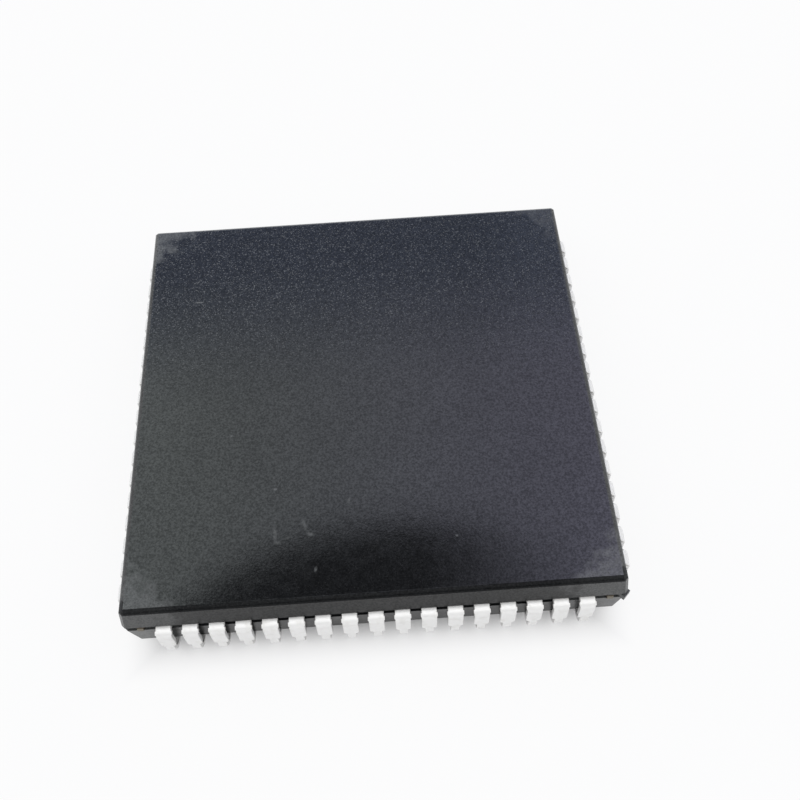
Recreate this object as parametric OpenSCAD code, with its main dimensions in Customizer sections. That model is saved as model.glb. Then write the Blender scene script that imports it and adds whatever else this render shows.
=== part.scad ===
// Plastic leaded chip carrier: a square moulded body on four rows of J leads,
// with the lead frame, die and bond wires that the moulding holds.
// Millimetres, +Z up. The origin lies on the seating plane, under the middle of the body,
// and the front side faces -Y.

/* [Lead rows] */
// Leads along each side
leads_per_side = 17; // [13:2:21]
// Distance between neighbouring leads
lead_pitch = 1.27; // [1.15:0.01:1.6]
// Distance from the last lead of a row to the corner of the body
corner_margin = 1.97; // [1.7:0.01:2.6]

/* [Body] */
// Height of the top face above the seating plane
body_top = 4.37; // [4:0.01:5]
// Height of the underside above the seating plane
standoff = 0.64; // [0.5:0.01:0.8]
// Slope of the upper walls, in degrees
upper_draft = 7; // [3:0.5:10]
// Slope of the lower walls, in degrees
lower_draft = 7; // [3:0.5:10]
// Depth of the slot that trimming leaves in the walls between the leads
slot_depth = 0.15; // [0.08:0.01:0.25]
// How far the slot opens past the lead frame, upwards and downwards
slot_margin = 0.08; // [0.03:0.01:0.12]
// Radius along the edges of the top face
top_edge_radius = 0.25; // [0.1:0.01:0.4]
// Radius along the edges of the underside
bottom_edge_radius = 0.15; // [0.08:0.01:0.3]
// Leg of the flat across each corner
corner_break = 0.16; // [0.1:0.01:0.5]
// Bevel where the corner flats meet the top face and the underside
corner_bevel = 0.12; // [0.05:0.01:0.2]
// Radius of the round marks that the ejector pins leave in the underside
ejector_radius = 0.9; // [0.5:0.05:1.3]
// Depth of those marks
ejector_depth = 0.06; // [0.03:0.01:0.15]
// Distance of those marks from the middle, along both sides
ejector_offset = 6.2; // [4:0.1:7]
// Width of the broken-off gate at the front right corner
gate_width = 0.46; // [0.2:0.02:0.5]
// Height of the gate, down from the parting line
gate_height = 0.36; // [0.3:0.01:0.6]
// How far the gate stands out from the corner flat
gate_length = 0.06; // [0.05:0.01:0.2]

/* [Leads] */
// Height of the leads' shoulders above the seating plane
shoulder_height = 2.85; // [2.6:0.01:3.2]
// Thickness of the lead frame
lead_thickness = 0.254; // [0.2:0.002:0.3]
// Width of the leads at the shoulder and the upright
lead_width = 0.74; // [0.66:0.01:0.82]
// How far the leads stand out past the body
lead_reach = 0.44; // [0.42:0.01:0.6]
// Outer radius of the shoulder bend
shoulder_radius = 0.4; // [0.34:0.01:0.42]
// How far the stubs of the dam bar stand out from the flanks of a lead
stub_height = 0.04; // [0.02:0.01:0.08]
// Angle of the shoulder bend at which a stub starts, counted from the upright
stub_start = 35; // [10:1:45]
// Part of the shoulder bend that a stub takes up, in degrees
stub_sweep = 30; // [15:1:40]
// Length of the wide upright below the shoulder bend
upright_length = 1.05; // [0.8:0.01:1.2]
// Radius at the lower corners of the upright
upright_corner = 0.12; // [0.05:0.01:0.15]
// Width of the foot
foot_width = 0.43; // [0.33:0.01:0.53]
// Outer radius of the foot
foot_radius = 1; // [0.8:0.01:1.15]
// How far the foot curls on past its lowest point, in degrees
foot_curl = 75; // [60:1:85]
// Room around the tip of a foot in its pocket
pocket_clearance = 0.2; // [0.1:0.01:0.25]

/* [Lead frame] */
// Width of a lead's finger where it leaves the wall of the moulding
finger_width = 0.4; // [0.3:0.01:0.5]
// Width of a finger at its tip
tip_width = 0.24; // [0.16:0.01:0.3]
// Depth of the wide end of a finger that the wall grips
wall_grip = 0.35; // [0.2:0.01:0.5]
// Length over which a finger narrows behind the grip
grip_taper = 0.5; // [0.3:0.01:0.8]
// Gap between the paddle and the tips of the fingers
tip_gap = 0.35; // [0.25:0.01:0.5]
// Distance of the last finger's tip from the corner of the ring of tips
tip_corner_gap = 1.05; // [0.9:0.01:1.4]
// Width of the tie bars that carry the paddle
tie_width = 0.4; // [0.3:0.01:0.5]
// Width of a tie bar's end, where it was cut off at the wall
tie_end_width = 0.3; // [0.2:0.01:0.35]
// Distance of a tie bar's end from the corner of the body
tie_end_margin = 0.87; // [0.75:0.01:1.05]
// How far the cut end of a tie bar stands out of the wall
tie_end_reach = 0.04; // [0.02:0.01:0.08]
// Length along a tie bar over which it drops to the paddle
tie_drop_length = 0.6; // [0.5:0.05:1.2]
// Margin of the paddle around the die
paddle_margin = 0.4; // [0.3:0.01:0.6]

/* [Die] */
// Side of the square die
die_size = 7.2; // [6:0.1:8.4]
// Thickness of the die
die_thickness = 0.38; // [0.25:0.01:0.5]
// Thickness of the adhesive under the die
attach_thickness = 0.03; // [0.02:0.005:0.06]
// Margin of the adhesive around the die
attach_margin = 0.15; // [0.05:0.01:0.25]

/* [Bond wires] */
// Diameter of a bond wire
wire_diameter = 0.05; // [0.03:0.005:0.06]
// Distance of the bond pads from the edge of the die
pad_inset = 0.2; // [0.1:0.01:0.4]
// Distance of the last pad of a row from the corner of the die
pad_corner_gap = 0.5; // [0.4:0.01:0.8]
// Distance of a wire's far end from the tip of its finger
stitch_inset = 0.3; // [0.15:0.01:0.5]

/* [Hidden] */
$fn = 48;
// Flat steps in a rounded edge or corner
round_steps = 6;
// Flat sides of a bond wire
wire_sides = 6;
// Turns that bring a row to its side of the body
rear_turn = 0;
left_turn = 90;
front_turn = 180;
right_turn = 270;
// Places of the leads in a row, counted from the middle one
last_place = (leads_per_side - 1) / 2;
places = [-last_place:last_place];
// Half size of the body at the parting line, which lies on top of the lead frame
body_half = last_place * lead_pitch + corner_margin;
body_span = 2 * body_half;
frame_bottom = shoulder_height - lead_thickness;
slot_bottom = frame_bottom - slot_margin;
slot_top = shoulder_height + slot_margin;
// The lead's outer face, and the middle lines of its two bends
lead_outer = body_half + lead_reach;
shoulder_line = lead_outer - shoulder_radius;
shoulder_middle = shoulder_height - shoulder_radius;
foot_line = lead_outer - foot_radius;
upright_bottom = shoulder_middle - upright_length;
// The curled tip of a foot: its farthest reach under the body, its mouth and its highest point
tip_reach = foot_line - foot_radius * sin(foot_curl);
tip_mouth = foot_line - (foot_radius - lead_thickness) * sin(foot_curl);
tip_height = foot_radius - (foot_radius - lead_thickness) * cos(foot_curl);
pocket_inner = tip_reach - pocket_clearance;
pocket_outer = tip_mouth + pocket_clearance;
pocket_top = tip_height + pocket_clearance;
pocket_width = foot_width + 2 * pocket_clearance;
// The stack of the die and its paddle: the die's top is level with the fingers
paddle_top = shoulder_height - die_thickness - attach_thickness;
paddle_bottom = paddle_top - lead_thickness;
paddle_half = die_size / 2 + paddle_margin;
// The fan of the fingers, from the wall to the ring of tips around the paddle
fan_line = body_half - wall_grip - grip_taper;
tip_line = paddle_half + tip_gap;
tip_pitch = (tip_line - tip_corner_gap) / last_place;
// The tie bars: the elbow near the corner, and the drop along the diagonal
tie_line = body_half - tie_end_margin;
tie_elbow = tie_line * sqrt(2);
tie_drop_start = paddle_half * sqrt(2) + tie_width;
tie_drop_end = tie_drop_start + tie_drop_length;
// Bond pads
pad_line = die_size / 2 - pad_inset;
pad_pitch = (die_size / 2 - pad_corner_gap) / last_place;

// Points along an arc around a centre, from one angle to another
function arc(centre, radius, from, to) = [
    for (step = [0:round_steps])
        let (angle = from + (to - from) * step / round_steps)
        centre + radius * [cos(angle), sin(angle)]
];

// A right-hand outline closed by its own mirror image
function both_sides(points) = concat(
    points,
    [for (i = [len(points) - 1:-1:0]) [-points[i][0], points[i][1]]]
);

// Distance of the drafted walls from the middle at a height
function upper_wall(height) = body_half - (height - shoulder_height) * tan(upper_draft);
function lower_wall(height) = body_half - (shoulder_height - height) * tan(lower_draft);

// Half outline of the body's section: the underside's rounded edge, the lower wall and the trimmed slot
function lower_outline() =
    let (height = standoff + bottom_edge_radius)
    let (middle = [lower_wall(height) - bottom_edge_radius / cos(lower_draft), height])
    concat(
        arc(middle, bottom_edge_radius, -90, -lower_draft),
        [
            [lower_wall(slot_bottom), slot_bottom],
            [body_half - slot_depth, slot_bottom],
            [body_half - slot_depth, slot_top]
        ]
    );

// Half outline of the body's section: the upper wall and the top's rounded edge
function upper_outline() =
    let (height = body_top - top_edge_radius)
    let (middle = [upper_wall(height) - top_edge_radius / cos(upper_draft), height])
    concat(
        [[upper_wall(slot_top), slot_top]],
        arc(middle, top_edge_radius, upper_draft, 90)
    );

// The body's section square to its sides
function side_section() = both_sides(concat(lower_outline(), upper_outline()));

// Distance of the flats across the corners from the middle at a height
function upper_flat(height) = (2 * upper_wall(height) - corner_break) / sqrt(2);
function lower_flat(height) = (2 * lower_wall(height) - corner_break) / sqrt(2);

// The body's section from corner to corner, through the flats and their bevelled ends
function corner_section() = both_sides([
    [lower_flat(standoff) - corner_bevel, standoff],
    [lower_flat(standoff + corner_bevel), standoff + corner_bevel],
    [upper_flat(shoulder_height), shoulder_height],
    [upper_flat(body_top - corner_bevel), body_top - corner_bevel],
    [upper_flat(body_top) - corner_bevel, body_top]
]);

// A long bar with one of those sections
module section_bar(section) {
    rotate([90, 0, 0])
        linear_extrude(2 * body_span, center = true)
            polygon(section);
}

// The stub that the gate leaves on the flat across the front right corner
module gate() {
    flat = upper_flat(shoulder_height);
    rotate([0, 0, -45])
        translate([flat - gate_height, -gate_width / 2, shoulder_height - gate_height])
            cube([gate_height + gate_length, gate_width, gate_height]);
}

// The pockets in the underside that take the tips of the feet
module foot_pockets() {
    for (turn = [rear_turn, left_turn, front_turn, right_turn], place = places)
        rotate([0, 0, turn])
            translate([place * lead_pitch - pocket_width / 2, pocket_inner, 0])
                cube([pocket_width, pocket_outer - pocket_inner, pocket_top]);
}

// The shallow round marks of the ejector pins in the underside
module ejector_marks() {
    for (x = [-1, 1], y = [-1, 1])
        translate([x * ejector_offset, y * ejector_offset, 0])
            cylinder(r = ejector_radius, h = standoff + ejector_depth);
}

// The moulding without the space of what it holds
module moulding() {
    difference() {
        union() {
            intersection() {
                section_bar(side_section());
                rotate([0, 0, 90]) section_bar(side_section());
                rotate([0, 0, 45]) section_bar(corner_section());
                rotate([0, 0, -45]) section_bar(corner_section());
            }
            gate();
        }
        foot_pockets();
        ejector_marks();
    }
}

// A finger of the lead frame: the grip in the wall, the taper and the run to the tip
module finger(place) {
    lead_at = place * lead_pitch;
    tip_at = place * tip_pitch;
    translate([0, 0, frame_bottom])
        linear_extrude(lead_thickness)
            polygon([
                [lead_at - lead_width / 2, shoulder_line],
                [lead_at - lead_width / 2, body_half - wall_grip],
                [lead_at - finger_width / 2, fan_line],
                [tip_at - tip_width / 2, tip_line],
                [tip_at + tip_width / 2, tip_line],
                [lead_at + finger_width / 2, fan_line],
                [lead_at + lead_width / 2, body_half - wall_grip],
                [lead_at + lead_width / 2, shoulder_line]
            ]);
}

// Part of a bent strip around a line along X
module bent_strip(radius, width, sweep) {
    rotate_extrude(angle = sweep)
        translate([radius - lead_thickness, -width / 2])
            square([lead_thickness, width]);
}

// The shoulder bend, with the stubs of the dam bar on its flanks
module shoulder() {
    translate([0, shoulder_line, shoulder_middle])
        rotate([90, 0, 90]) {
            bent_strip(shoulder_radius, lead_width, 90);
            rotate([0, 0, stub_start])
                bent_strip(shoulder_radius, lead_width + 2 * stub_height, stub_sweep);
        }
}

// The upright: wide below the shoulder, rounded off at its lower corners down to the foot
module upright() {
    corner = [lead_width / 2 - upright_corner, upright_bottom + upright_corner];
    translate([0, lead_outer, 0])
        rotate([90, 0, 0])
            linear_extrude(lead_thickness)
                polygon(both_sides(concat(
                    [[foot_width / 2, foot_radius], [foot_width / 2, upright_bottom]],
                    arc(corner, upright_corner, -90, 0),
                    [[lead_width / 2, shoulder_middle]]
                )));
}

// The foot, from the upright round the seating plane to its curled tip
module foot() {
    translate([0, foot_line, foot_radius])
        rotate([-90, 0, 90])
            bent_strip(foot_radius, foot_width, 90 + foot_curl);
}

// One lead: the finger inside the moulding and the J outside it
module lead(place) {
    finger(place);
    translate([place * lead_pitch, 0, 0]) {
        shoulder();
        upright();
        foot();
    }
}

// The leads of one side
module lead_row(turn) {
    color("gainsboro")
        rotate([0, 0, turn])
            for (place = places)
                lead(place);
}

// Where a wire leaves its bond pad, and where it ends on its finger
function pad_at(place) = [place * pad_pitch, pad_line];
function stitch_at(place) =
    let (slope = place * (lead_pitch - tip_pitch) / (fan_line - tip_line))
    [place * tip_pitch + stitch_inset * slope, tip_line + stitch_inset];

// One bond wire: half a ring over the gap, standing on the die and on the finger
module bond_wire(place) {
    reach = stitch_at(place) - pad_at(place);
    middle = (stitch_at(place) + pad_at(place)) / 2;
    translate([middle[0], middle[1], shoulder_height])
        rotate([0, 0, atan2(reach[1], reach[0])])
            rotate([90, 0, 0])
                rotate_extrude(angle = 180)
                    translate([norm(reach) / 2, 0])
                        circle(d = wire_diameter, $fn = wire_sides);
}

// The bond wires of one side
module wire_row(turn) {
    color("gold")
        rotate([0, 0, turn])
            for (place = places)
                bond_wire(place);
}

// The plan of a tie bar: out along the diagonal, then through the wall beside the corner
module tie_bar_plan() {
    half = tie_end_width / 2;
    miter = [half, -half * tan(22.5)];
    along = [tie_width, tie_width];
    across = [half, -half] / sqrt(2);
    elbow = [tie_line, tie_line];
    out = [tie_line, body_half + tie_end_reach];
    rotate([0, 0, 45])
        translate([0, -tie_width / 2])
            square([tie_elbow - tie_width, tie_width]);
    polygon([
        elbow - along + across,
        elbow + miter,
        out + [half, 0],
        out - [half, 0],
        elbow - miter,
        elbow - along - across
    ]);
}

// The heights of the stamped sheet around the middle: low at the paddle, up at the frame
module downset_sheet() {
    rotate_extrude()
        polygon([
            [0, paddle_bottom],
            [tie_drop_start, paddle_bottom],
            [tie_drop_end, frame_bottom],
            [body_span, frame_bottom],
            [body_span, shoulder_height],
            [tie_drop_end, shoulder_height],
            [tie_drop_start, paddle_top],
            [0, paddle_top]
        ]);
}

// The paddle that carries the die, with its four tie bars
module die_paddle() {
    color("peru")
        intersection() {
            linear_extrude(body_top)
                union() {
                    square(2 * paddle_half, center = true);
                    for (x = [0, 1], y = [0, 1])
                        mirror([x, 0])
                            mirror([0, y])
                                tie_bar_plan();
                }
            downset_sheet();
        }
}

// The layer of adhesive between paddle and die
module die_attach() {
    side = die_size + 2 * attach_margin;
    color("lightgray")
        translate([-side / 2, -side / 2, paddle_top])
            cube([side, side, attach_thickness]);
}

// The silicon die
module die() {
    color("slategray")
        translate([-die_size / 2, -die_size / 2, paddle_top + attach_thickness])
            cube([die_size, die_size, die_thickness]);
}

// The moulded body, solid around everything that it holds
module body() {
    color("#2b2d31")
        difference() {
            moulding();
            for (turn = [rear_turn, left_turn, front_turn, right_turn])
                rotate([0, 0, turn])
                    for (place = places)
                        finger(place);
            for (turn = [rear_turn, left_turn, front_turn, right_turn])
                wire_row(turn);
            die_paddle();
            die_attach();
            die();
        }
}

body();
die_paddle();
die_attach();
die();
lead_row(front_turn);  // leads_front
lead_row(right_turn);  // leads_right
lead_row(rear_turn);  // leads_rear
lead_row(left_turn);  // leads_left
wire_row(front_turn);  // wires_front
wire_row(right_turn);  // wires_right
wire_row(rear_turn);  // wires_rear
wire_row(left_turn);  // wires_left
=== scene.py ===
"""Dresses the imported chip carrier: its moulding, J leads, lead frame, die, bond wires and stage."""

import math

import bpy
import numpy as np
from bpy.props import FloatProperty, FloatVectorProperty, IntProperty, PointerProperty
from mathutils import Matrix, Vector


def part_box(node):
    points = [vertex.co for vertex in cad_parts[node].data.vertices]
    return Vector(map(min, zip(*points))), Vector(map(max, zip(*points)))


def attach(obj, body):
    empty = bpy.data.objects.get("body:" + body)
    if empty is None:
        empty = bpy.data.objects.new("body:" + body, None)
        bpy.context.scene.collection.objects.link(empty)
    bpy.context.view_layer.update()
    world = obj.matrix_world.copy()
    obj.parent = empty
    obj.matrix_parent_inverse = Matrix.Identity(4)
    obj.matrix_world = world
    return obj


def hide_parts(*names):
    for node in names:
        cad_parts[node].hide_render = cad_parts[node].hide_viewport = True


bl_info = {
    "name": "Leaded chip carrier",
    "version": (1, 0, 0),
    "blender": (4, 5, 0),
    "location": "3D View > Sidebar > Carrier",
    "description": "Finishes of a square moulded chip carrier on four rows of J leads",
    "category": "Object",
}

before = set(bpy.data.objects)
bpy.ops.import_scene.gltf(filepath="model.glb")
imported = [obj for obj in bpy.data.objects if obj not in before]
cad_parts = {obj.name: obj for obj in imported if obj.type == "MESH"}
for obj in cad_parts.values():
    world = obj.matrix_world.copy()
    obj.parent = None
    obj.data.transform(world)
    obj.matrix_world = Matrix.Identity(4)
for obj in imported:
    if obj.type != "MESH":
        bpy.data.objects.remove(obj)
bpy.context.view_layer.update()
ROW_LOW, ROW_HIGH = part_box("leads_rear")
BODY_LOW, BODY_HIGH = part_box("body")
_, DIE_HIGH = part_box("die")
MM = 0.001
# Turn in degrees that brings a row, built towards +Y, to its side of the body
SIDES = {"rear": 0.0, "left": 90.0, "front": 180.0, "right": 270.0}
# Points on a quarter of a rounded section, and the ring points that give the plane of a tube's end
ARC_POINTS = 4
END_POINTS = (0, 4, 9)
# Stations of a lead: the bend above, along and below a stub, the upright, its lower corners and the hook
BEND_STATIONS = (5, 5, 6)
UPRIGHT_STATIONS = 2
CORNER_STATIONS = 7
HOOK_STATIONS = 20
# Length over which the upright steps in to the foot, and angle over which a stub steps out of its flank
NECK_STEP = 0.004 * MM
STUB_STEP = math.radians(1.0)
# Stations of a wire, degrees between its ring points, and how far its ball and its stitch reach along it
WIRE_STATIONS = 26
WIRE_RING_STEP = 30
BALL_REACH = 0.03 * MM
STITCH_REACH = 0.05 * MM
# Rubbed places of the top face: millimetres across and along, half length, half width, turn and strength
RUBS = (
    (-9.05, 6.32, 0.34, 0.09, -4.0, 0.95),
    (-6.94, -2.69, 0.10, 0.08, 40.0, 0.55),
    (-4.66, -5.96, 0.12, 0.09, 10.0, 0.65),
    (-0.67, 9.81, 0.12, 0.10, 0.0, 0.45),
    (-2.70, -10.38, 0.10, 0.20, -12.0, 0.45),
    (4.13, -9.14, 0.10, 0.08, 0.0, 0.4),
    (-1.02, -6.85, 0.11, 0.18, -15.0, 0.42),
    (-2.56, -7.45, 0.11, 0.11, 0.0, 0.32),
    (-5.77, 5.16, 0.10, 0.09, 0.0, 0.25),
    (-3.64, 5.13, 0.10, 0.09, 0.0, 0.25),
    (-4.65, -8.42, 0.14, 0.52, 2.5, 0.42),
    (-4.55, -8.85, 0.26, 0.16, 0.0, 0.34),
    (-4.05, -8.66, 0.34, 0.11, 18.0, 0.16),
    (-3.23, -7.98, 0.14, 0.54, 15.5, 0.36),
    (-2.93, -8.54, 0.25, 0.15, -12.0, 0.42),
)
RUB_DEPTH = 0.6 * MM
# Refractive index of the moulding compound
COMPOUND_INDEX = 1.54
# Share of metal in the look of the tin plate, the silicon and the adhesive
TIN_METAL, SILICON_METAL, ADHESIVE_METAL = 0.5, 0.6, 0.7
# Dim patch of the room: its middle and half size in degrees aside and ahead, and its level
DIM_MIDDLE = (-0.4, 18.0)
DIM_HALF = (14.8, 7.9)
DIM_LEVEL = 0.02
# Camera sensor in millimetres; nearest and farthest distance seen and half a side of the floor in metres
SENSOR_WIDTH = 36.0
SEEN_FROM, SEEN_TO = 0.001, 20.0
FLOOR_HALF = 4.0


def size(name, description, millimetres):
    """A length that a user may change, given in millimetres and kept in metres."""
    return FloatProperty(
        name=name, description=description, default=millimetres * MM,
        min=0.0, subtype="DISTANCE", unit="LENGTH", precision=6,
    )


def colour(name, description, value):
    """A linear colour that a user may change."""
    return FloatVectorProperty(
        name=name, description=description, default=value, size=3,
        min=0.0, max=1.0, subtype="COLOR",
    )


def share(name, description, value, highest=1.0):
    """A plain number from 0 up, such as a roughness."""
    return FloatProperty(
        name=name, description=description, default=value, min=0.0, max=highest, subtype="FACTOR",
    )


def turn(name, description, degrees):
    """An angle that a user may change, given in degrees and kept in radians."""
    return FloatProperty(
        name=name, description=description, default=math.radians(degrees),
        subtype="ANGLE", unit="ROTATION",
    )


class CarrierLeadSizes(bpy.types.PropertyGroup):
    """Sizes of a stamped and bent J lead."""
    per_side: IntProperty(name="Leads a side", description="Leads along each side", default=17, min=3)
    pitch: size("Pitch", "Distance between neighbouring leads", 1.27)
    thickness: size("Thickness", "Thickness of the lead frame", 0.254)
    width: size("Width", "Width of the shoulder and the upright", 0.74)
    foot_width: size("Foot width", "Width of the curled foot", 0.43)
    finger_width: size("Finger width", "Width of a finger behind its grip in the wall", 0.4)
    tip_width: size("Tip width", "Width of a finger at its tip", 0.24)
    tip_pitch: size("Tip pitch", "Distance between the tips of neighbouring fingers", 0.4125)
    fan_depth: size("Fan depth", "Distance from a lead's outer face to where the fingers fan out", 1.29)
    grip_depth: size("Grip depth", "Distance from the lead's outer face to the end of the wide grip", 0.79)
    shoulder_radius: size("Shoulder radius", "Outer radius of the shoulder bend", 0.4)
    stub_height: size("Stub height", "How far the cut stubs of the dam bar stand out from the flanks", 0.04)
    stub_start: turn("Stub start", "Angle of the bend where a stub starts, from the upright", 35.0)
    stub_sweep: turn("Stub sweep", "Part of the bend that a stub takes up", 30.0)
    upright_length: size("Upright length", "Length of the wide upright below the shoulder bend", 1.05)
    upright_corner: size("Upright corner", "Radius at the lower corners of the upright", 0.12)
    foot_radius: size("Foot radius", "Outer radius of the foot", 1.0)
    foot_curl: turn("Foot curl", "How far the foot curls on past its lowest point", 75.0)
    outer_roll: size("Outer edge", "Radius that the press rolls onto the outer edges", 0.045)
    inner_roll: size("Inner edge", "Radius of the inner edges, where the press broke through", 0.015)


class CarrierWireSizes(bpy.types.PropertyGroup):
    """Sizes of the bond wires."""
    diameter: size("Diameter", "Diameter of a wire", 0.05)
    pad_inset: size("Pad inset", "Distance of the bond pads from the edge of the die", 0.2)
    pad_corner: size("Pad corner", "Distance of the last pad of a row from the corner of the die", 0.5)
    stitch_inset: size("Stitch inset", "Distance of a wire's far end from the tip of its finger", 0.3)
    ball: size("Ball", "How far the ball on a pad swells past the wire", 0.018)


class CarrierFinishes(bpy.types.PropertyGroup):
    """Colours and finishes of the materials."""
    compound: colour("Moulding compound", "Colour of the moulded body", (0.0076, 0.0080, 0.0087))
    # The pale colour also serves for the painted glints and the painted highlight along the side top edges.
    compound_pale: colour("Rubbed compound", "Colour of scuffs and dust on the body", (0.16, 0.165, 0.165))
    compound_gloss: share("Compound roughness", "Mean roughness of the top face", 0.085)
    wall_gloss: share("Wall roughness", "How much rougher the walls are", 0.22)
    tin: colour("Tin plate", "Colour of the plated leads", (0.90, 0.898, 0.89))
    tin_dull: colour("Dull tin", "Colour of the plate where it is stained", (0.76, 0.75, 0.72))
    copper: colour("Copper alloy", "Colour of the lead frame's bare metal", (0.62, 0.37, 0.23))
    copper_dark: colour("Tarnish", "Colour of the tarnished metal", (0.21, 0.19, 0.155))
    gold: colour("Gold wire", "Colour of the bond wires", (0.94, 0.68, 0.27))
    silicon: colour("Silicon", "Colour of the die", (0.075, 0.08, 0.095))
    adhesive: colour("Adhesive", "Colour of the silver-filled adhesive", (0.55, 0.55, 0.54))


class CarrierStage(bpy.types.PropertyGroup):
    """Camera, light and floor."""
    lens: FloatProperty(name="Lens", description="Focal length in millimetres", default=43.80, min=1.0)
    camera_place: FloatVectorProperty(
        name="Camera", description="Place of the camera", size=3, subtype="XYZ", unit="LENGTH",
        default=(1.257 * MM, -29.063 * MM, 47.320 * MM),
    )
    azimuth: turn("Azimuth", "Turn of the camera about the upright axis", -1.284)
    elevation: turn("Elevation", "Tilt of the camera above the floor", 56.976)
    roll: turn("Roll", "Turn of the camera about its own line of sight", -2.747)
    floor: colour("Floor", "Colour of the pale floor", (0.76, 0.76, 0.768))
    floor_glow: share("Floor glow", "Share of plain white in the floor as it is seen", 0.87)
    backdrop: share("Backdrop", "Level of white behind the floor as it is seen", 0.973)
    light: share("Light", "Level of the soft light overhead", 1.5, 4.0)
    left_tint: colour("Left tint", "Tint of the overhead light on the left", (0.76, 0.825, 0.82))
    right_tint: colour("Right tint", "Tint of the overhead light on the right", (0.745, 0.735, 0.98))
    front_light: share("Front light", "Level of the light over the front", 1.62, 4.0)
    low_light: share("Low light", "Level of the light from low over the front", 0.2, 4.0)
    side_light: share("Side light", "Level of the light from both sides of the front", 1.1, 4.0)
    rear_light: share("Rear light", "Level of the light from both sides of the rear", 0.9, 4.0)
    far_light: colour("Far light", "Cooler light from behind the part", (0.39, 0.465, 0.69))


def section(half_width, half_thickness, outer_roll, inner_roll):
    """Rounded rectangle at each station of a strip: four quarter circles whose middles stand in from the
    corners by their radii. Gives offsets along the width and the thickness, and each point's unit normal."""
    quarters = [start + np.linspace(0, 90, ARC_POINTS) for start in (0, 90, 180, 270)]
    turns = np.radians(np.concatenate(quarters))
    roll = np.repeat([outer_roll, inner_roll], 2 * ARC_POINTS)
    sign_across = np.repeat([1, -1, -1, 1], ARC_POINTS)
    sign_up = np.repeat([1, 1, -1, -1], ARC_POINTS)
    across = sign_across * (np.asarray(half_width)[:, None] - roll) + roll * np.cos(turns)
    up = sign_up * (half_thickness - roll) + roll * np.sin(turns)
    return across, np.broadcast_to(up, across.shape), np.cos(turns), np.sin(turns)


def sweep_faces(copies, stations, ring):
    """Quads of a number of closed tubes, ring points by stations, and the two end faces of each."""
    index = np.arange(copies * stations * ring).reshape(copies, stations, ring)
    beside = np.roll(index, -1, axis=2)
    quads = np.stack([index[:, :-1], index[:, 1:], beside[:, 1:], beside[:, :-1]], -1).reshape(-1, 4)
    return quads, index[:, 0], index[:, -1, ::-1]


def turned(vectors, degrees):
    """Vectors turned about the upright axis."""
    cos, sin = math.cos(math.radians(degrees)), math.sin(math.radians(degrees))
    return vectors @ np.array([[cos, sin, 0], [-sin, cos, 0], [0, 0, 1]])


def new_piece(name, points, normals, flat_ring, strip, values, material, node):
    """A mesh of closed tubes that stands for a CAD node.
    points, normals and strip are arrays of copies, stations and ring points. Ring segments marked in
    flat_ring are shaded flat, the others by their normals, and values are named numbers per point."""
    copies, stations, ring, _ = points.shape
    quads, first, last = sweep_faces(copies, stations, ring)
    spots = points.reshape(-1, 3)
    mesh = bpy.data.meshes.new(name)
    mesh.from_pydata(spots, [], quads.tolist() + first.tolist() + last.tolist())
    shading = normals.reshape(-1, 3)[quads]
    face = np.cross(spots[quads[:, 2]] - spots[quads[:, 0]], spots[quads[:, 3]] - spots[quads[:, 1]])
    face /= np.maximum(np.linalg.norm(face, axis=1, keepdims=True), 1e-15)
    flat = np.tile(flat_ring, copies * (stations - 1))
    shading[flat] = face[flat][:, None]
    loops = [shading.reshape(-1, 3)]
    for end in (first, last):
        a, b, c = (spots[end[:, i]] for i in END_POINTS)
        square = np.cross(b - a, c - a)
        loops.append(np.repeat(square / np.linalg.norm(square, axis=1, keepdims=True), ring, axis=0))
    mesh.polygons.foreach_set("use_smooth", np.ones(len(mesh.polygons), bool))
    mesh.normals_split_custom_set(np.concatenate(loops).tolist())
    corners = np.concatenate([quads.ravel(), first.ravel(), last.ravel()])
    layer = mesh.uv_layers.new(name="strip")
    layer.uv.foreach_set("vector", strip.reshape(-1, 2)[corners].astype(np.float32).ravel())
    for key, value in values.items():
        per_point = np.broadcast_to(value, points.shape[:3]).astype(np.float32)
        mesh.attributes.new(key, "FLOAT", "POINT").data.foreach_set("value", per_point.ravel())
    mesh.materials.append(material)
    piece = bpy.data.objects.new(name, mesh)
    bpy.context.scene.collection.objects.link(piece)
    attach(piece, "root")
    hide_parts(node)


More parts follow.
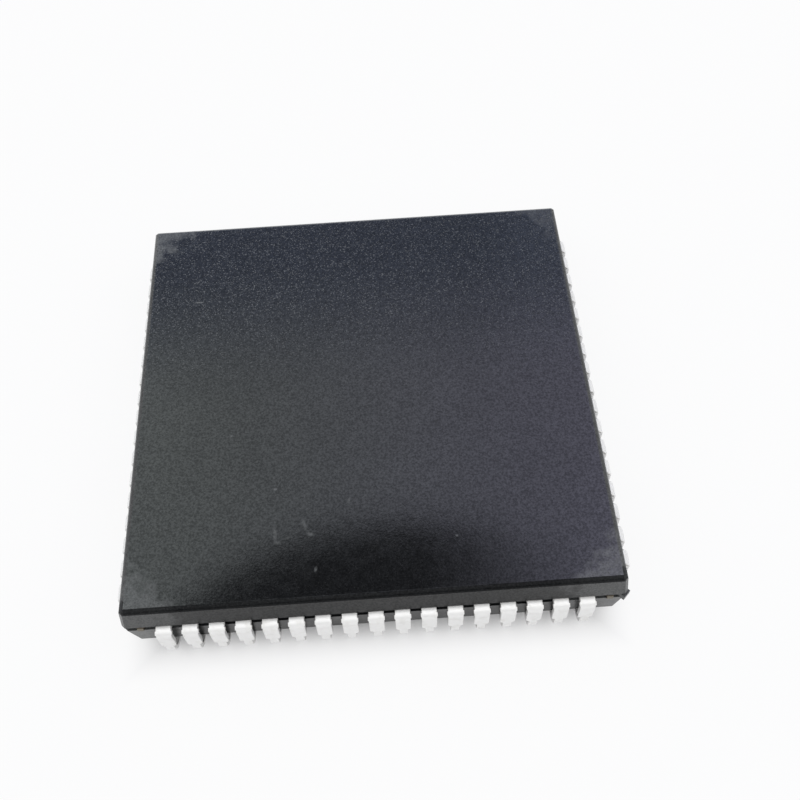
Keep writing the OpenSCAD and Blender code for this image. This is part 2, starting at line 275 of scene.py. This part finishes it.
def lead_path(sizes):
    """The middle line of a J lead in the plane square to its side: out along the finger, a quarter turn at
    the shoulder, down the upright, and round the foot past its lowest point.
    Gives distance from the middle, height, the outer normal's two parts, half width and bare copper."""
    half = sizes.thickness / 2
    outer, top = ROW_HIGH.y, ROW_HIGH.z
    shoulder = np.array([outer - sizes.shoulder_radius, top - sizes.shoulder_radius])
    foot = np.array([outer - sizes.foot_radius, sizes.foot_radius])
    wide, narrow, corner = sizes.width / 2, sizes.foot_width / 2, sizes.upright_corner
    bottom = shoulder[1] - sizes.upright_length

    finger_out = np.array([ROW_LOW.y, outer - sizes.fan_depth, outer - sizes.grip_depth])
    finger = np.stack([
        finger_out, np.full(3, top - half), np.zeros(3), np.ones(3),
        np.array([sizes.tip_width, sizes.finger_width, sizes.width]) / 2, np.zeros(3),
    ], 1)

    low, high = sizes.stub_start, sizes.stub_start + sizes.stub_sweep
    above, along, below = BEND_STATIONS
    bend = np.concatenate([
        np.linspace(math.pi / 2, high + STUB_STEP, above), np.linspace(high, low, along),
        np.linspace(low - STUB_STEP, 0, below),
    ])
    stub = np.repeat([0, 1, 0], BEND_STATIONS)
    round_off = np.stack([
        shoulder[0] + (sizes.shoulder_radius - half) * np.cos(bend),
        shoulder[1] + (sizes.shoulder_radius - half) * np.sin(bend),
        np.cos(bend), np.sin(bend), wide + sizes.stub_height * stub, stub,
    ], 1)

    corner_turn = np.radians(np.linspace(0, 90, CORNER_STATIONS))
    upright_z = np.concatenate([
        np.linspace(shoulder[1], bottom + corner, UPRIGHT_STATIONS + 2)[1:-1],
        bottom + corner - corner * np.sin(corner_turn), [bottom - NECK_STEP],
    ])
    upright_half = np.concatenate([
        np.full(UPRIGHT_STATIONS, wide), wide - corner + corner * np.cos(corner_turn), [narrow],
    ])
    none, one = np.zeros(len(upright_z)), np.ones(len(upright_z))
    upright = np.stack([(outer - half) * one, upright_z, one, none, upright_half, none], 1)

    curl = -np.linspace(0, math.pi / 2 + sizes.foot_curl, HOOK_STATIONS)
    hook = np.stack([
        foot[0] + (sizes.foot_radius - half) * np.cos(curl),
        foot[1] + (sizes.foot_radius - half) * np.sin(curl),
        np.cos(curl), np.sin(curl), np.full(HOOK_STATIONS, narrow), np.eye(HOOK_STATIONS)[-1],
    ], 1)
    return np.concatenate([finger, round_off, upright, hook])


def lead_rows(sizes, material):
    """Four rows of leads. Each lead is a rounded rectangle carried along the lead's path, and its place along
    the row slides from the pitch of the tips to the pitch of the leads over the fan of the fingers."""
    out, height, normal_out, normal_up, half, bare = lead_path(sizes).T
    across, up, normal_across, normal_thick = section(
        half, sizes.thickness / 2, sizes.outer_roll, sizes.inner_roll
    )
    last = (sizes.per_side - 1) / 2
    place = np.linspace(-last, last, sizes.per_side)[:, None]
    fan_line = ROW_HIGH.y - sizes.fan_depth
    run = np.clip((out - ROW_LOW.y) / (fan_line - ROW_LOW.y), 0, 1)
    along = place * (sizes.tip_pitch + (sizes.pitch - sizes.tip_pitch) * run)
    shape = (sizes.per_side, *across.shape)
    points = np.stack([
        np.broadcast_to(along[:, :, None] + across, shape),
        np.broadcast_to(out[:, None] + up * normal_out[:, None], shape),
        np.broadcast_to(height[:, None] + up * normal_up[:, None], shape),
    ], -1)
    normals = np.stack(np.broadcast_arrays(
        np.broadcast_to(normal_across, shape),
        normal_thick * normal_out[:, None], normal_thick * normal_up[:, None],
    ), -1)
    ring = 4 * ARC_POINTS
    flat_ring = np.isin(np.arange(ring), [2 * ARC_POINTS - 1, ring - 1])
    middle = np.stack([out, height], 1)
    length = np.concatenate([[0], np.cumsum(np.linalg.norm(np.diff(middle, axis=0), axis=1))])
    strip = np.stack(np.broadcast_arrays(
        np.broadcast_to(length[:, None], shape),
        np.broadcast_to(across + 2 * place[:, :, None] * sizes.pitch, shape),
    ), -1)
    # The press leaves copper bare on the flanks of the stubs and on the whole end of the foot
    flank = np.abs(normal_across) > 0.9
    tip = np.eye(len(bare))[-1]
    values = {"bare_copper": np.maximum(bare[:, None] * flank, (bare * tip)[:, None])}
    for side, degrees in SIDES.items():
        new_piece(
            f"lead_row_{side}", turned(points, degrees), turned(normals, degrees), flat_ring, strip, values,
            material, f"leads_{side}",
        )


def wire_rows(sizes, leads, material):
    """Four rows of bond wires. Each is a circle carried round half a ring that stands on its pad and its
    finger; near the pad the circle swells to the ball, and near the finger it spreads to the stitch."""
    last = (leads.per_side - 1) / 2
    place = np.linspace(-last, last, leads.per_side)
    tip_line, fan_line = ROW_LOW.y, ROW_HIGH.y - leads.fan_depth
    pad = np.stack([
        place * (DIE_HIGH.x - sizes.pad_corner) / last, np.full(len(place), DIE_HIGH.y - sizes.pad_inset),
    ], 1)
    slope = place * (leads.pitch - leads.tip_pitch) / (fan_line - tip_line)
    stitch = np.stack([
        place * leads.tip_pitch + sizes.stitch_inset * slope,
        np.full(len(place), tip_line + sizes.stitch_inset),
    ], 1)
    reach = np.linalg.norm(stitch - pad, axis=1)
    ahead = (stitch - pad) / reach[:, None]
    aside = np.stack([ahead[:, 1], -ahead[:, 0]], 1)
    middle = (stitch + pad) / 2
    arc = math.pi * (0.5 - 0.5 * np.cos(np.linspace(0, math.pi, WIRE_STATIONS)))
    ring = np.radians(np.arange(0, 360, WIRE_RING_STEP))
    from_stitch, from_pad = np.outer(reach / 2, arc), np.outer(reach / 2, math.pi - arc)
    round_half = sizes.diameter / 2 + sizes.ball * np.exp(-((from_pad / BALL_REACH) ** 2))
    wide_half = round_half + 0.5 * sizes.ball * np.exp(-((from_stitch / STITCH_REACH) ** 2))
    radial = reach[:, None, None] / 2 + round_half[:, :, None] * np.cos(ring)
    side = wide_half[:, :, None] * np.sin(ring)
    cos, sin = np.cos(arc)[None, :, None], np.sin(arc)[None, :, None]
    flat = [
        middle[:, None, None, i] + radial * cos * ahead[:, None, None, i] + side * aside[:, None, None, i]
        for i in (0, 1)
    ]
    points = np.stack([flat[0], flat[1], ROW_HIGH.z + radial * sin], -1)
    normals = np.stack(np.broadcast_arrays(
        np.cos(ring) * cos * ahead[:, None, None, 0] + np.sin(ring) * aside[:, None, None, 0],
        np.cos(ring) * cos * ahead[:, None, None, 1] + np.sin(ring) * aside[:, None, None, 1],
        np.cos(ring) * sin,
    ), -1)
    strip = np.stack(np.broadcast_arrays(from_stitch[:, :, None], sizes.diameter / 2 * ring), -1)
    for name, degrees in SIDES.items():
        new_piece(
            f"wire_row_{name}", turned(points, degrees), turned(normals, degrees),
            np.zeros(len(ring), bool), strip, {}, material, f"wires_{name}",
        )


def new_material(name):
    """An empty node material. Gives the material, its tree, its surface shader and Object coordinates."""
    material = bpy.data.materials.new(name)
    material.use_nodes = True
    tree = material.node_tree
    shader = tree.nodes["Principled BSDF"]
    return material, tree, shader, node(tree, "ShaderNodeTexCoord").outputs["Object"]


def node(tree, kind, inputs=(), **settings):
    """A node with its settings made and its inputs set or linked."""
    made = tree.nodes.new(kind)
    for key, value in settings.items():
        setattr(made, key, value)
    for key, value in dict(inputs).items():
        if isinstance(value, bpy.types.NodeSocket):
            tree.links.new(value, made.inputs[key])
        else:
            made.inputs[key].default_value = value
    return made


def noise(tree, place, scale, detail=2.0, rough=0.5):
    """Noise of so many waves a metre."""
    return node(tree, "ShaderNodeTexNoise", {
        "Vector": place, "Scale": scale, "Detail": detail, "Roughness": rough,
    }).outputs[0]


def ramp(tree, value, low, high, to_low=0.0, to_high=1.0):
    """A value eased from one range to another."""
    return node(tree, "ShaderNodeMapRange", {
        "Value": value, "From Min": low, "From Max": high, "To Min": to_low, "To Max": to_high,
    }, interpolation_type="SMOOTHSTEP").outputs["Result"]


def maths(tree, operation, first, second=0.0):
    """A sum, product or other operation on two values."""
    return node(tree, "ShaderNodeMath", {0: first, 1: second}, operation=operation).outputs[0]


def product(tree, *values):
    """All the values multiplied."""
    total = values[0]
    for value in values[1:]:
        total = maths(tree, "MULTIPLY", total, value)
    return total


def mix(tree, factor, first, second):
    """One value over another."""
    return node(tree, "ShaderNodeMix", {0: factor, 2: first, 3: second}).outputs[0]


def blend(tree, factor, first, second):
    """One colour over another."""
    def value(c):
        return c if isinstance(c, bpy.types.NodeSocket) else (*c, 1.0)
    inputs = {0: factor, 6: value(first), 7: value(second)}
    return node(tree, "ShaderNodeMix", inputs, data_type="RGBA").outputs[2]


def scaled(tree, vector, level):
    """A colour or vector times a level."""
    return node(tree, "ShaderNodeVectorMath", {0: vector, "Scale": level}, operation="SCALE").outputs[0]


def split(tree, vector):
    """The X, Y and Z of a vector."""
    return node(tree, "ShaderNodeSeparateXYZ", {0: vector}).outputs


def stretched(tree, place, scale, degrees=0.0, centre=(0.0, 0.0, 0.0)):
    """Coordinates about a centre, turned about the upright axis and divided by a scale."""
    return node(tree, "ShaderNodeMapping", {
        "Vector": place, "Location": centre, "Rotation": (0.0, 0.0, math.radians(degrees)), "Scale": scale,
    }, vector_type="TEXTURE").outputs[0]


def bump(tree, height, distance, strength=1.0, normal=None):
    """A surface normal tilted by a height field."""
    inputs = {"Height": height, "Distance": distance, "Strength": strength}
    if normal is not None:
        inputs["Normal"] = normal
    return node(tree, "ShaderNodeBump", inputs).outputs["Normal"]


def connect(tree, shader, links, values=()):
    """Links sockets to a shader's inputs and sets the even values on the shader itself."""
    for key, socket in links.items():
        tree.links.new(socket, shader.inputs[key])
    for key, value in dict(values).items():
        shader.inputs[key].default_value = value


def below_top(millimetres):
    """Height of a level so far below the top face."""
    return BODY_HIGH.z - millimetres * MM


def painted_dark_rim_mask(tree, parts):
    """1 on the rounding of the front top edge: below the flat top, above the wall and near the front. The
    sheen is cut there to paint a dark reflection along the front edge.
    """
    under = ramp(tree, parts["Z"], below_top(0.0012), below_top(0.0001), 1.0, 0.0)
    over = ramp(tree, parts["Z"], below_top(0.26), below_top(0.21))
    near = ramp(tree, parts["Y"], BODY_LOW.y + 0.8 * MM, BODY_LOW.y + 1.1 * MM, 1.0, 0.0)
    return product(tree, under, over, near)


def wear_and_edge_highlights(tree, parts, across, cloud, painted_dark_rim):
    """Share of pale colour: worn, ragged patches at the corners, strongest at the rear left and weakest at
    the rear right, a painted highlight along the side top edges, and a pale line along the rear top edge."""
    diagonal = maths(tree, "ADD", across, maths(tree, "ABSOLUTE", parts["Y"]))
    ragged = maths(tree, "ADD", diagonal, ramp(tree, cloud, 0.3, 0.7, -0.7 * MM, 0.7 * MM))
    corners = ramp(tree, ragged, 2 * BODY_HIGH.x - 3.8 * MM, 2 * BODY_HIGH.x - 2.2 * MM, 0.0, 0.42)
    behind = ramp(tree, parts["Y"], 7.0 * MM, 9.0 * MM)
    uneven = ramp(tree, parts["X"], -9.0 * MM, 9.0 * MM, 1.35, 0.55)
    corners = product(tree, corners, ramp(tree, painted_dark_rim, 0.0, 1.0, 1.0, 0.1), mix(tree, behind, 1.0, uneven))
    # Painted highlight: a pale line on the rounding of the side top edges, where the bright sides would be
    # mirrored.
    sides = ramp(tree, across, 11.62 * MM, 11.86 * MM, 0.0, 0.26)
    rear = ramp(tree, parts["Y"], 11.70 * MM, 11.80 * MM, 0.0, 0.9)
    rounded = ramp(tree, parts["Z"], below_top(0.3), below_top(0.2))
    return maths(tree, "MAXIMUM", corners, product(tree, maths(tree, "MAXIMUM", sides, rear), rounded))


def rubs(tree, place, strongest):
    """The strongest at each point of a given share and all the scuffed spots, each a soft ellipse."""
    for x, y, half_length, half_width, degrees, strength in RUBS:
        halves = (half_length * MM, half_width * MM, RUB_DEPTH)
        local = stretched(tree, place, halves, degrees, (x * MM, y * MM, BODY_HIGH.z))
        away = node(tree, "ShaderNodeVectorMath", {0: local}, operation="LENGTH").outputs["Value"]
        strongest = maths(tree, "MAXIMUM", strongest, ramp(tree, away, 0.2, 1.0, strength, 0.0))
    return strongest


def compound_material(look):
    """Black moulding compound: a fine spark-eroded grain that breaks up the sheen, filler specks, slow shifts
    of colour and gloss, a few scuffed places and worn corners on top, pale specks that are partly dust and
    partly painted glints, a painted highlight along the side top edges, and sheen that paints reflections
    on the walls and along the front top edge."""
    material, tree, shader, place = new_material("moulding_compound")
    slow = noise(tree, place, 220.0, 3.0)
    cloud = noise(tree, place, 1400.0, 2.0)
    grain = noise(tree, place, 12000.0, 2.0, 0.6)
    filler = noise(tree, place, 9700.0, 2.0, 0.6)
    sparkle = noise(tree, place, 15000.0, 1.0)
    parts = split(tree, place)
    across = maths(tree, "ABSOLUTE", parts["X"])
    wall = ramp(tree, parts["Z"], below_top(0.30), below_top(0.12), 1.0, 0.0)
    painted_dark_rim = painted_dark_rim_mask(tree, parts)

    # Scuffs and worn corners, with the painted highlight of the side top edges among them.
    rubbed_and_edge_highlights = rubs(tree, place, wear_and_edge_highlights(tree, parts, across, cloud, painted_dark_rim))
    rubbed_and_edge_highlights = product(tree, rubbed_and_edge_highlights, ramp(tree, grain, 0.3, 0.6, 0.35, 1.0))
    dark = tuple(0.7 * c for c in look.compound)
    pale = tuple(1.3 * c for c in look.compound)
    base = blend(tree, ramp(tree, filler, 0.3, 0.7), dark, pale)
    # Pale specks: partly dust and partly painted glints, far denser towards the rear, a little fewer to the
    # right and few on the walls.
    dust_and_painted_glints = product(
        tree, ramp(tree, sparkle, 0.56, 0.75), ramp(tree, parts["Y"], -2.0 * MM, 8.0 * MM, 0.08, 0.85),
        ramp(tree, parts["X"], -12.0 * MM, 12.0 * MM, 1.0, 0.7), ramp(tree, wall, 0.0, 1.0, 1.0, 0.12),
    )
    base = blend(tree, dust_and_painted_glints, base, look.compound_pale)
    base = blend(tree, rubbed_and_edge_highlights, base, look.compound_pale)

    top_gloss = ramp(tree, cloud, 0.3, 0.7, look.compound_gloss - 0.02, look.compound_gloss + 0.02)
    added = maths(tree, "MAXIMUM", product(tree, rubbed_and_edge_highlights, 0.3), product(tree, wall, look.wall_gloss))
    gloss = maths(tree, "ADD", top_gloss, added)
    # Painted reflection: the walls' sheen is lowered, partly for their rougher finish and partly as painted
    # shade, and rises towards the corners to paint a brighter reflection there.
    painted_wall_sheen = ramp(tree, across, 0.4 * BODY_HIGH.x, BODY_HIGH.x, 0.37, 0.55)
    # Painted dark reflection: the sheen falls to 0.12 of itself on the rounding of the front top edge.
    dull = maths(tree, "MINIMUM", mix(tree, wall, 1.0, painted_wall_sheen), ramp(tree, painted_dark_rim, 0.0, 1.0, 1.0, 0.12))
    sheen = product(
        tree, ramp(tree, filler, 0.28, 0.72, 0.34, 0.66), ramp(tree, slow, 0.3, 0.7, 0.96, 1.04), dull,
    )
    rough = bump(tree, grain, 1.0e-6, 1.0, bump(tree, cloud, 0.8e-6, 0.6))
    connect(tree, shader, {
        "Base Color": base, "Roughness": gloss, "Specular IOR Level": sheen, "Normal": rough,
    }, {"IOR": COMPOUND_INDEX})
    return material


def tin_material(look):
    """Matte tin plate: rolling lines along the strip, fine plating grain, dull stains, and bare copper where
    the press cut the metal."""
    material, tree, shader, place = new_material("tin_plate")
    strip = node(tree, "ShaderNodeUVMap", uv_map="strip").outputs["UV"]
    lines = noise(tree, stretched(tree, strip, (12.0, 1.0, 1.0)), 30000.0, 2.0)
    grain = noise(tree, place, 16000.0, 2.0, 0.6)
    stain = ramp(tree, noise(tree, place, 1900.0, 3.0, 0.6), 0.48, 0.72)
    bare = node(tree, "ShaderNodeAttribute", attribute_name="bare_copper").outputs["Fac"]
    bare = product(tree, bare, ramp(tree, grain, 0.25, 0.6, 0.2, 0.55))
    base = blend(tree, product(tree, stain, 0.4), look.tin, look.tin_dull)
    base = blend(tree, bare, base, look.copper_dark)
    gloss = maths(tree, "ADD", ramp(tree, lines, 0.3, 0.7, 0.46, 0.56), product(tree, stain, 0.1))
    rough = bump(tree, grain, 0.7e-6, 0.7, bump(tree, lines, 0.6e-6, 0.6))
    connect(tree, shader, {"Base Color": base, "Roughness": gloss, "Normal": rough}, {"Metallic": TIN_METAL})
    return material


def copper_material(look):
    """Rolled copper alloy: lines along the sheet, tarnish in soft patches and all over the cut ends."""
    material, tree, shader, place = new_material("copper_alloy")
    lines = noise(tree, stretched(tree, place, (10.0, 1.0, 1.0)), 16000.0, 2.0)
    patches = ramp(tree, noise(tree, place, 1500.0, 3.0, 0.6), 0.42, 0.75, 0.0, 0.6)
    parts = split(tree, place)
    out = maths(tree, "MAXIMUM", maths(tree, "ABSOLUTE", parts["X"]), maths(tree, "ABSOLUTE", parts["Y"]))
    cut = ramp(tree, out, BODY_HIGH.x - 0.3 * MM, BODY_HIGH.x - 0.1 * MM)
    base = blend(tree, maths(tree, "MAXIMUM", patches, cut), look.copper, look.copper_dark)
    gloss = maths(tree, "ADD", ramp(tree, lines, 0.25, 0.75, 0.26, 0.46), product(tree, cut, 0.2))
    rolled = bump(tree, lines, 0.8e-6, 0.8)
    connect(tree, shader, {"Base Color": base, "Roughness": gloss, "Normal": rolled}, {"Metallic": 1.0})
    return material


def gold_material(look):
    """Drawn gold wire: fine draw lines along the wire."""
    material, tree, shader, _ = new_material("gold_wire")
    strip = node(tree, "ShaderNodeUVMap", uv_map="strip").outputs["UV"]
    lines = noise(tree, stretched(tree, strip, (20.0, 1.0, 1.0)), 160000.0, 1.0)
    deep = tuple(0.86 * c for c in look.gold)
    connect(tree, shader, {
        "Base Color": blend(tree, lines, deep, look.gold),
        "Roughness": ramp(tree, lines, 0.2, 0.8, 0.14, 0.26),
    }, {"Metallic": 1.0})
    return material


def silicon_material(look):
    """Polished silicon under a thin oxide: slow shifts of tint and a faint polish haze."""
    material, tree, shader, place = new_material("silicon")
    slow = noise(tree, place, 350.0, 2.0)
    haze = noise(tree, place, 5200.0, 3.0)
    tint = tuple(c * k for c, k in zip(look.silicon, (1.15, 1.0, 1.3)))
    connect(tree, shader, {
        "Base Color": blend(tree, slow, look.silicon, tint),
        "Roughness": ramp(tree, haze, 0.2, 0.8, 0.10, 0.2),
    }, {"Metallic": SILICON_METAL})
    return material


def adhesive_material(look):
    """Silver-filled adhesive: fine flakes that catch the light one by one."""
    material, tree, shader, place = new_material("die_adhesive")
    flakes = node(tree, "ShaderNodeTexVoronoi", {"Vector": place, "Scale": 22000.0}).outputs["Color"]
    bright = node(tree, "ShaderNodeSeparateColor", {0: flakes}).outputs[0]
    dull = tuple(0.55 * c for c in look.adhesive)
    connect(tree, shader, {
        "Base Color": blend(tree, bright, dull, look.adhesive),
        "Roughness": ramp(tree, bright, 0.0, 1.0, 0.35, 0.6),
        "Normal": bump(tree, bright, 1.5e-6, 0.8),
    }, {"Metallic": ADHESIVE_METAL})
    return material


def dress(name, material):
    """Gives a CAD node its material in every slot."""
    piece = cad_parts[name]
    piece.data.materials.clear()
    piece.data.materials.append(material)


class CARRIER_OT_body(bpy.types.Operator):
    """Dress the moulded body"""
    bl_idname = "carrier.body"
    bl_label = "Moulded body"

    def execute(self, context):
        dress("body", compound_material(context.scene.carrier_finishes))
        return {"FINISHED"}


class CARRIER_OT_leads(bpy.types.Operator):
    """Build the four rows of J leads"""
    bl_idname = "carrier.leads"
    bl_label = "Rows of leads"

    def execute(self, context):
        lead_rows(context.scene.carrier_leads, tin_material(context.scene.carrier_finishes))
        return {"FINISHED"}


class CARRIER_OT_paddle(bpy.types.Operator):
    """Dress the paddle and its tie bars"""
    bl_idname = "carrier.paddle"
    bl_label = "Die paddle"

    def execute(self, context):
        dress("die_paddle", copper_material(context.scene.carrier_finishes))
        return {"FINISHED"}


class CARRIER_OT_die(bpy.types.Operator):
    """Dress the die and the adhesive under it"""
    bl_idname = "carrier.die"
    bl_label = "Die and adhesive"

    def execute(self, context):
        look = context.scene.carrier_finishes
        dress("die", silicon_material(look))
        dress("die_attach", adhesive_material(look))
        return {"FINISHED"}


class CARRIER_OT_wires(bpy.types.Operator):
    """Build the four rows of bond wires"""
    bl_idname = "carrier.wires"
    bl_label = "Bond wires"

    def execute(self, context):
        scene = context.scene
        wire_rows(scene.carrier_wires, scene.carrier_leads, gold_material(scene.carrier_finishes))
        return {"FINISHED"}


def camera_matrix(stage):
    """The camera's place and axes: its back points along azimuth and elevation, its up axis is the one
    nearest to the world's, and both are then turned about the line of sight."""
    a, e, r = stage.azimuth, stage.elevation, stage.roll
    back = Vector((math.sin(a) * math.cos(e), -math.cos(a) * math.cos(e), math.sin(e)))
    right = (-back).cross(Vector((0, 0, 1))).normalized()
    up = right.cross(-back)
    sideways = math.cos(r) * right + math.sin(r) * up
    upward = math.cos(r) * up - math.sin(r) * right
    matrix = Matrix.Identity(4)
    for i, column in enumerate((sideways, upward, back, Vector(stage.camera_place))):
        matrix.col[i][:3] = column
    return matrix


def rays_seen(tree):
    """1 on rays from the camera, and 1 on rays that metal or glass sends on."""
    rays = node(tree, "ShaderNodeLightPath").outputs
    return rays["Is Camera Ray"], maths(tree, "MAXIMUM", rays["Is Glossy Ray"], rays["Is Transmission Ray"])


def room_light(stage):
    """A soft white room: brightest high over the front, plain overhead with a dim patch, cooler and dimmer
    further back. The camera sees it as plain white, and so do metal and glass close to the horizon."""
    world = bpy.data.worlds.new("soft_room")
    world.use_nodes = True
    tree = world.node_tree
    parts = split(tree, node(tree, "ShaderNodeTexCoord").outputs["Generated"])
    across = maths(tree, "ABSOLUTE", parts["X"])
    aside = maths(tree, "ARCTAN2", parts["X"], parts["Z"])
    ahead = maths(tree, "ARCTAN2", parts["Y"], parts["Z"])

    def over(angle, low, high):
        """0 at one angle in degrees, eased to 1 at another."""
        return ramp(tree, angle, math.radians(low), math.radians(high))

    def grey(level):
        """A colour without a tint."""
        return (level, level, level)

    def square(angle, i):
        """The square of an angle's distance from the middle of the dim patch, in halves of the patch."""
        off = maths(tree, "SUBTRACT", angle, math.radians(DIM_MIDDLE[i]))
        part = maths(tree, "DIVIDE", off, math.radians(DIM_HALF[i]))
        return product(tree, part, part)

    tint = blend(tree, ramp(tree, parts["X"], -0.25, 0.25), stage.left_tint, stage.right_tint)
    plain = scaled(tree, tint, ramp(tree, across, 0.14, 0.27, stage.light, 1.22 * stage.light))
    far = scaled(tree, stage.far_light, ramp(tree, parts["X"], 0.08, 0.18, 1.0, 1.3))
    front = blend(tree, over(ahead, -65, -40), grey(stage.low_light), grey(stage.front_light))
    middle = blend(tree, over(ahead, 33, 42), plain, far)
    middle = blend(tree, over(ahead, 12, 2), middle, front)
    reach = maths(tree, "ADD", square(aside, 0), square(ahead, 1))
    dim = product(tree, ramp(tree, reach, 1.13, 0.84), over(aside, 13, 1), over(ahead, 6, 13))
    middle = blend(tree, dim, middle, grey(DIM_LEVEL))
    sides = blend(tree, ramp(tree, parts["Y"], -0.1, 0.4), grey(stage.side_light), grey(stage.rear_light))
    outside = ramp(tree, across, 0.29, 0.42)
    strength = mix(tree, outside, 1.0, ramp(tree, parts["Z"], 0.1, 0.7, 0.2, 1.3))

    camera, mirrored = rays_seen(tree)
    seen = maths(tree, "MAXIMUM", camera, product(tree, mirrored, ramp(tree, parts["Z"], 0.3, 0.1)))
    connect(tree, tree.nodes["Background"], {
        "Color": blend(tree, seen, blend(tree, outside, middle, sides), grey(stage.backdrop)),
        "Strength": mix(tree, seen, strength, 1.0),
    })
    return world


def floor_material(stage):
    """Pale matt floor with a trace of unevenness. Camera, glossy and transmission rays see part of it as
    plain white, less and less towards the part, so that it looks white and keeps the shadow at the feet.
    This fall of the white paints shade onto the floor in front of the part, and beside the part the white
    stays full closer in and paints over the shadow."""
    material, tree, shader, place = new_material("pale_floor")
    shift = noise(tree, place, 60.0, 2.0)
    deep = tuple(0.99 * c for c in stage.floor)
    connect(
        tree, shader, {"Base Color": blend(tree, shift, deep, stage.floor)},
        {"Roughness": 0.9, "Specular IOR Level": 0.0},
    )
    parts = split(tree, node(tree, "ShaderNodeVectorMath", {0: place}, operation="ABSOLUTE").outputs[0])
    # Painted shade and light: the glow falls towards the front of the part, darkening the floor by the front
    # feet, and beside it stays full closer in, painting over the shadow there.
    away = maths(tree, "MAXIMUM", maths(tree, "ADD", parts["X"], 1.2 * MM), parts["Y"])
    start, end = BODY_HIGH.x - 1.0 * MM, BODY_HIGH.x + 1.8 * MM
    near = ramp(tree, away, start, end, 0.2 * stage.floor_glow, stage.floor_glow)
    seen = maths(tree, "MAXIMUM", *rays_seen(tree))
    glow = node(tree, "ShaderNodeEmission", {"Color": (1.0, 1.0, 1.0, 1.0), "Strength": 1.0}).outputs[0]
    mixed = node(tree, "ShaderNodeMixShader", {
        0: product(tree, seen, near), 1: shader.outputs[0], 2: glow,
    }).outputs[0]
    tree.links.new(mixed, tree.nodes["Material Output"].inputs["Surface"])
    return material


class CARRIER_OT_stage(bpy.types.Operator):
    """Set the camera, the light and the floor"""
    bl_idname = "carrier.stage"
    bl_label = "Stage"

    def execute(self, context):
        scene, stage = context.scene, context.scene.carrier_stage
        data = bpy.data.cameras.new("camera")
        data.sensor_width, data.lens = SENSOR_WIDTH, stage.lens
        data.clip_start, data.clip_end = SEEN_FROM, SEEN_TO
        camera = bpy.data.objects.new("camera", data)
        scene.collection.objects.link(camera)
        camera.matrix_world = camera_matrix(stage)
        scene.camera = camera
        scene.world = room_light(stage)
        scene.view_settings.view_transform = "Standard"
        mesh = bpy.data.meshes.new("floor")
        corners = [(x * FLOOR_HALF, y * FLOOR_HALF, 0) for x, y in ((-1, -1), (1, -1), (1, 1), (-1, 1))]
        mesh.from_pydata(corners, [], [(0, 1, 2, 3)])
        mesh.materials.append(floor_material(stage))
        floor = bpy.data.objects.new("floor", mesh)
        scene.collection.objects.link(floor)
        return {"FINISHED"}


class CARRIER_PT_panel(bpy.types.Panel):
    """Pieces, sizes and finishes of the chip carrier"""
    bl_idname = "CARRIER_PT_panel"
    bl_label = "Chip carrier"
    bl_space_type = "VIEW_3D"
    bl_region_type = "UI"
    bl_category = "Carrier"

    def draw(self, context):
        for operator in OPERATORS:
            self.layout.operator(operator.bl_idname)
        for group in GROUPS:
            column = self.layout.column(align=True)
            settings = getattr(context.scene, group)
            for key in settings.__annotations__:
                column.prop(settings, key)


GROUPS = {
    "carrier_leads": CarrierLeadSizes,
    "carrier_wires": CarrierWireSizes,
    "carrier_finishes": CarrierFinishes,
    "carrier_stage": CarrierStage,
}
OPERATORS = (
    CARRIER_OT_body, CARRIER_OT_leads, CARRIER_OT_paddle, CARRIER_OT_die, CARRIER_OT_wires, CARRIER_OT_stage,
)


def register():
    """Adds the classes and the scene's settings to Blender."""
    for cls in (*GROUPS.values(), *OPERATORS, CARRIER_PT_panel):
        bpy.utils.register_class(cls)
    for name, cls in GROUPS.items():
        setattr(bpy.types.Scene, name, PointerProperty(type=cls))


def unregister():
    """Takes them out again."""
    for name in GROUPS:
        delattr(bpy.types.Scene, name)
    for cls in (CARRIER_PT_panel, *reversed(OPERATORS), *reversed(GROUPS.values())):
        bpy.utils.unregister_class(cls)


def main():
    """Builds everything."""
    register()
    bpy.ops.carrier.body()
    bpy.ops.carrier.leads()
    bpy.ops.carrier.paddle()
    bpy.ops.carrier.die()
    bpy.ops.carrier.wires()
    bpy.ops.carrier.stage()


if __name__ == "__main__":
    main()
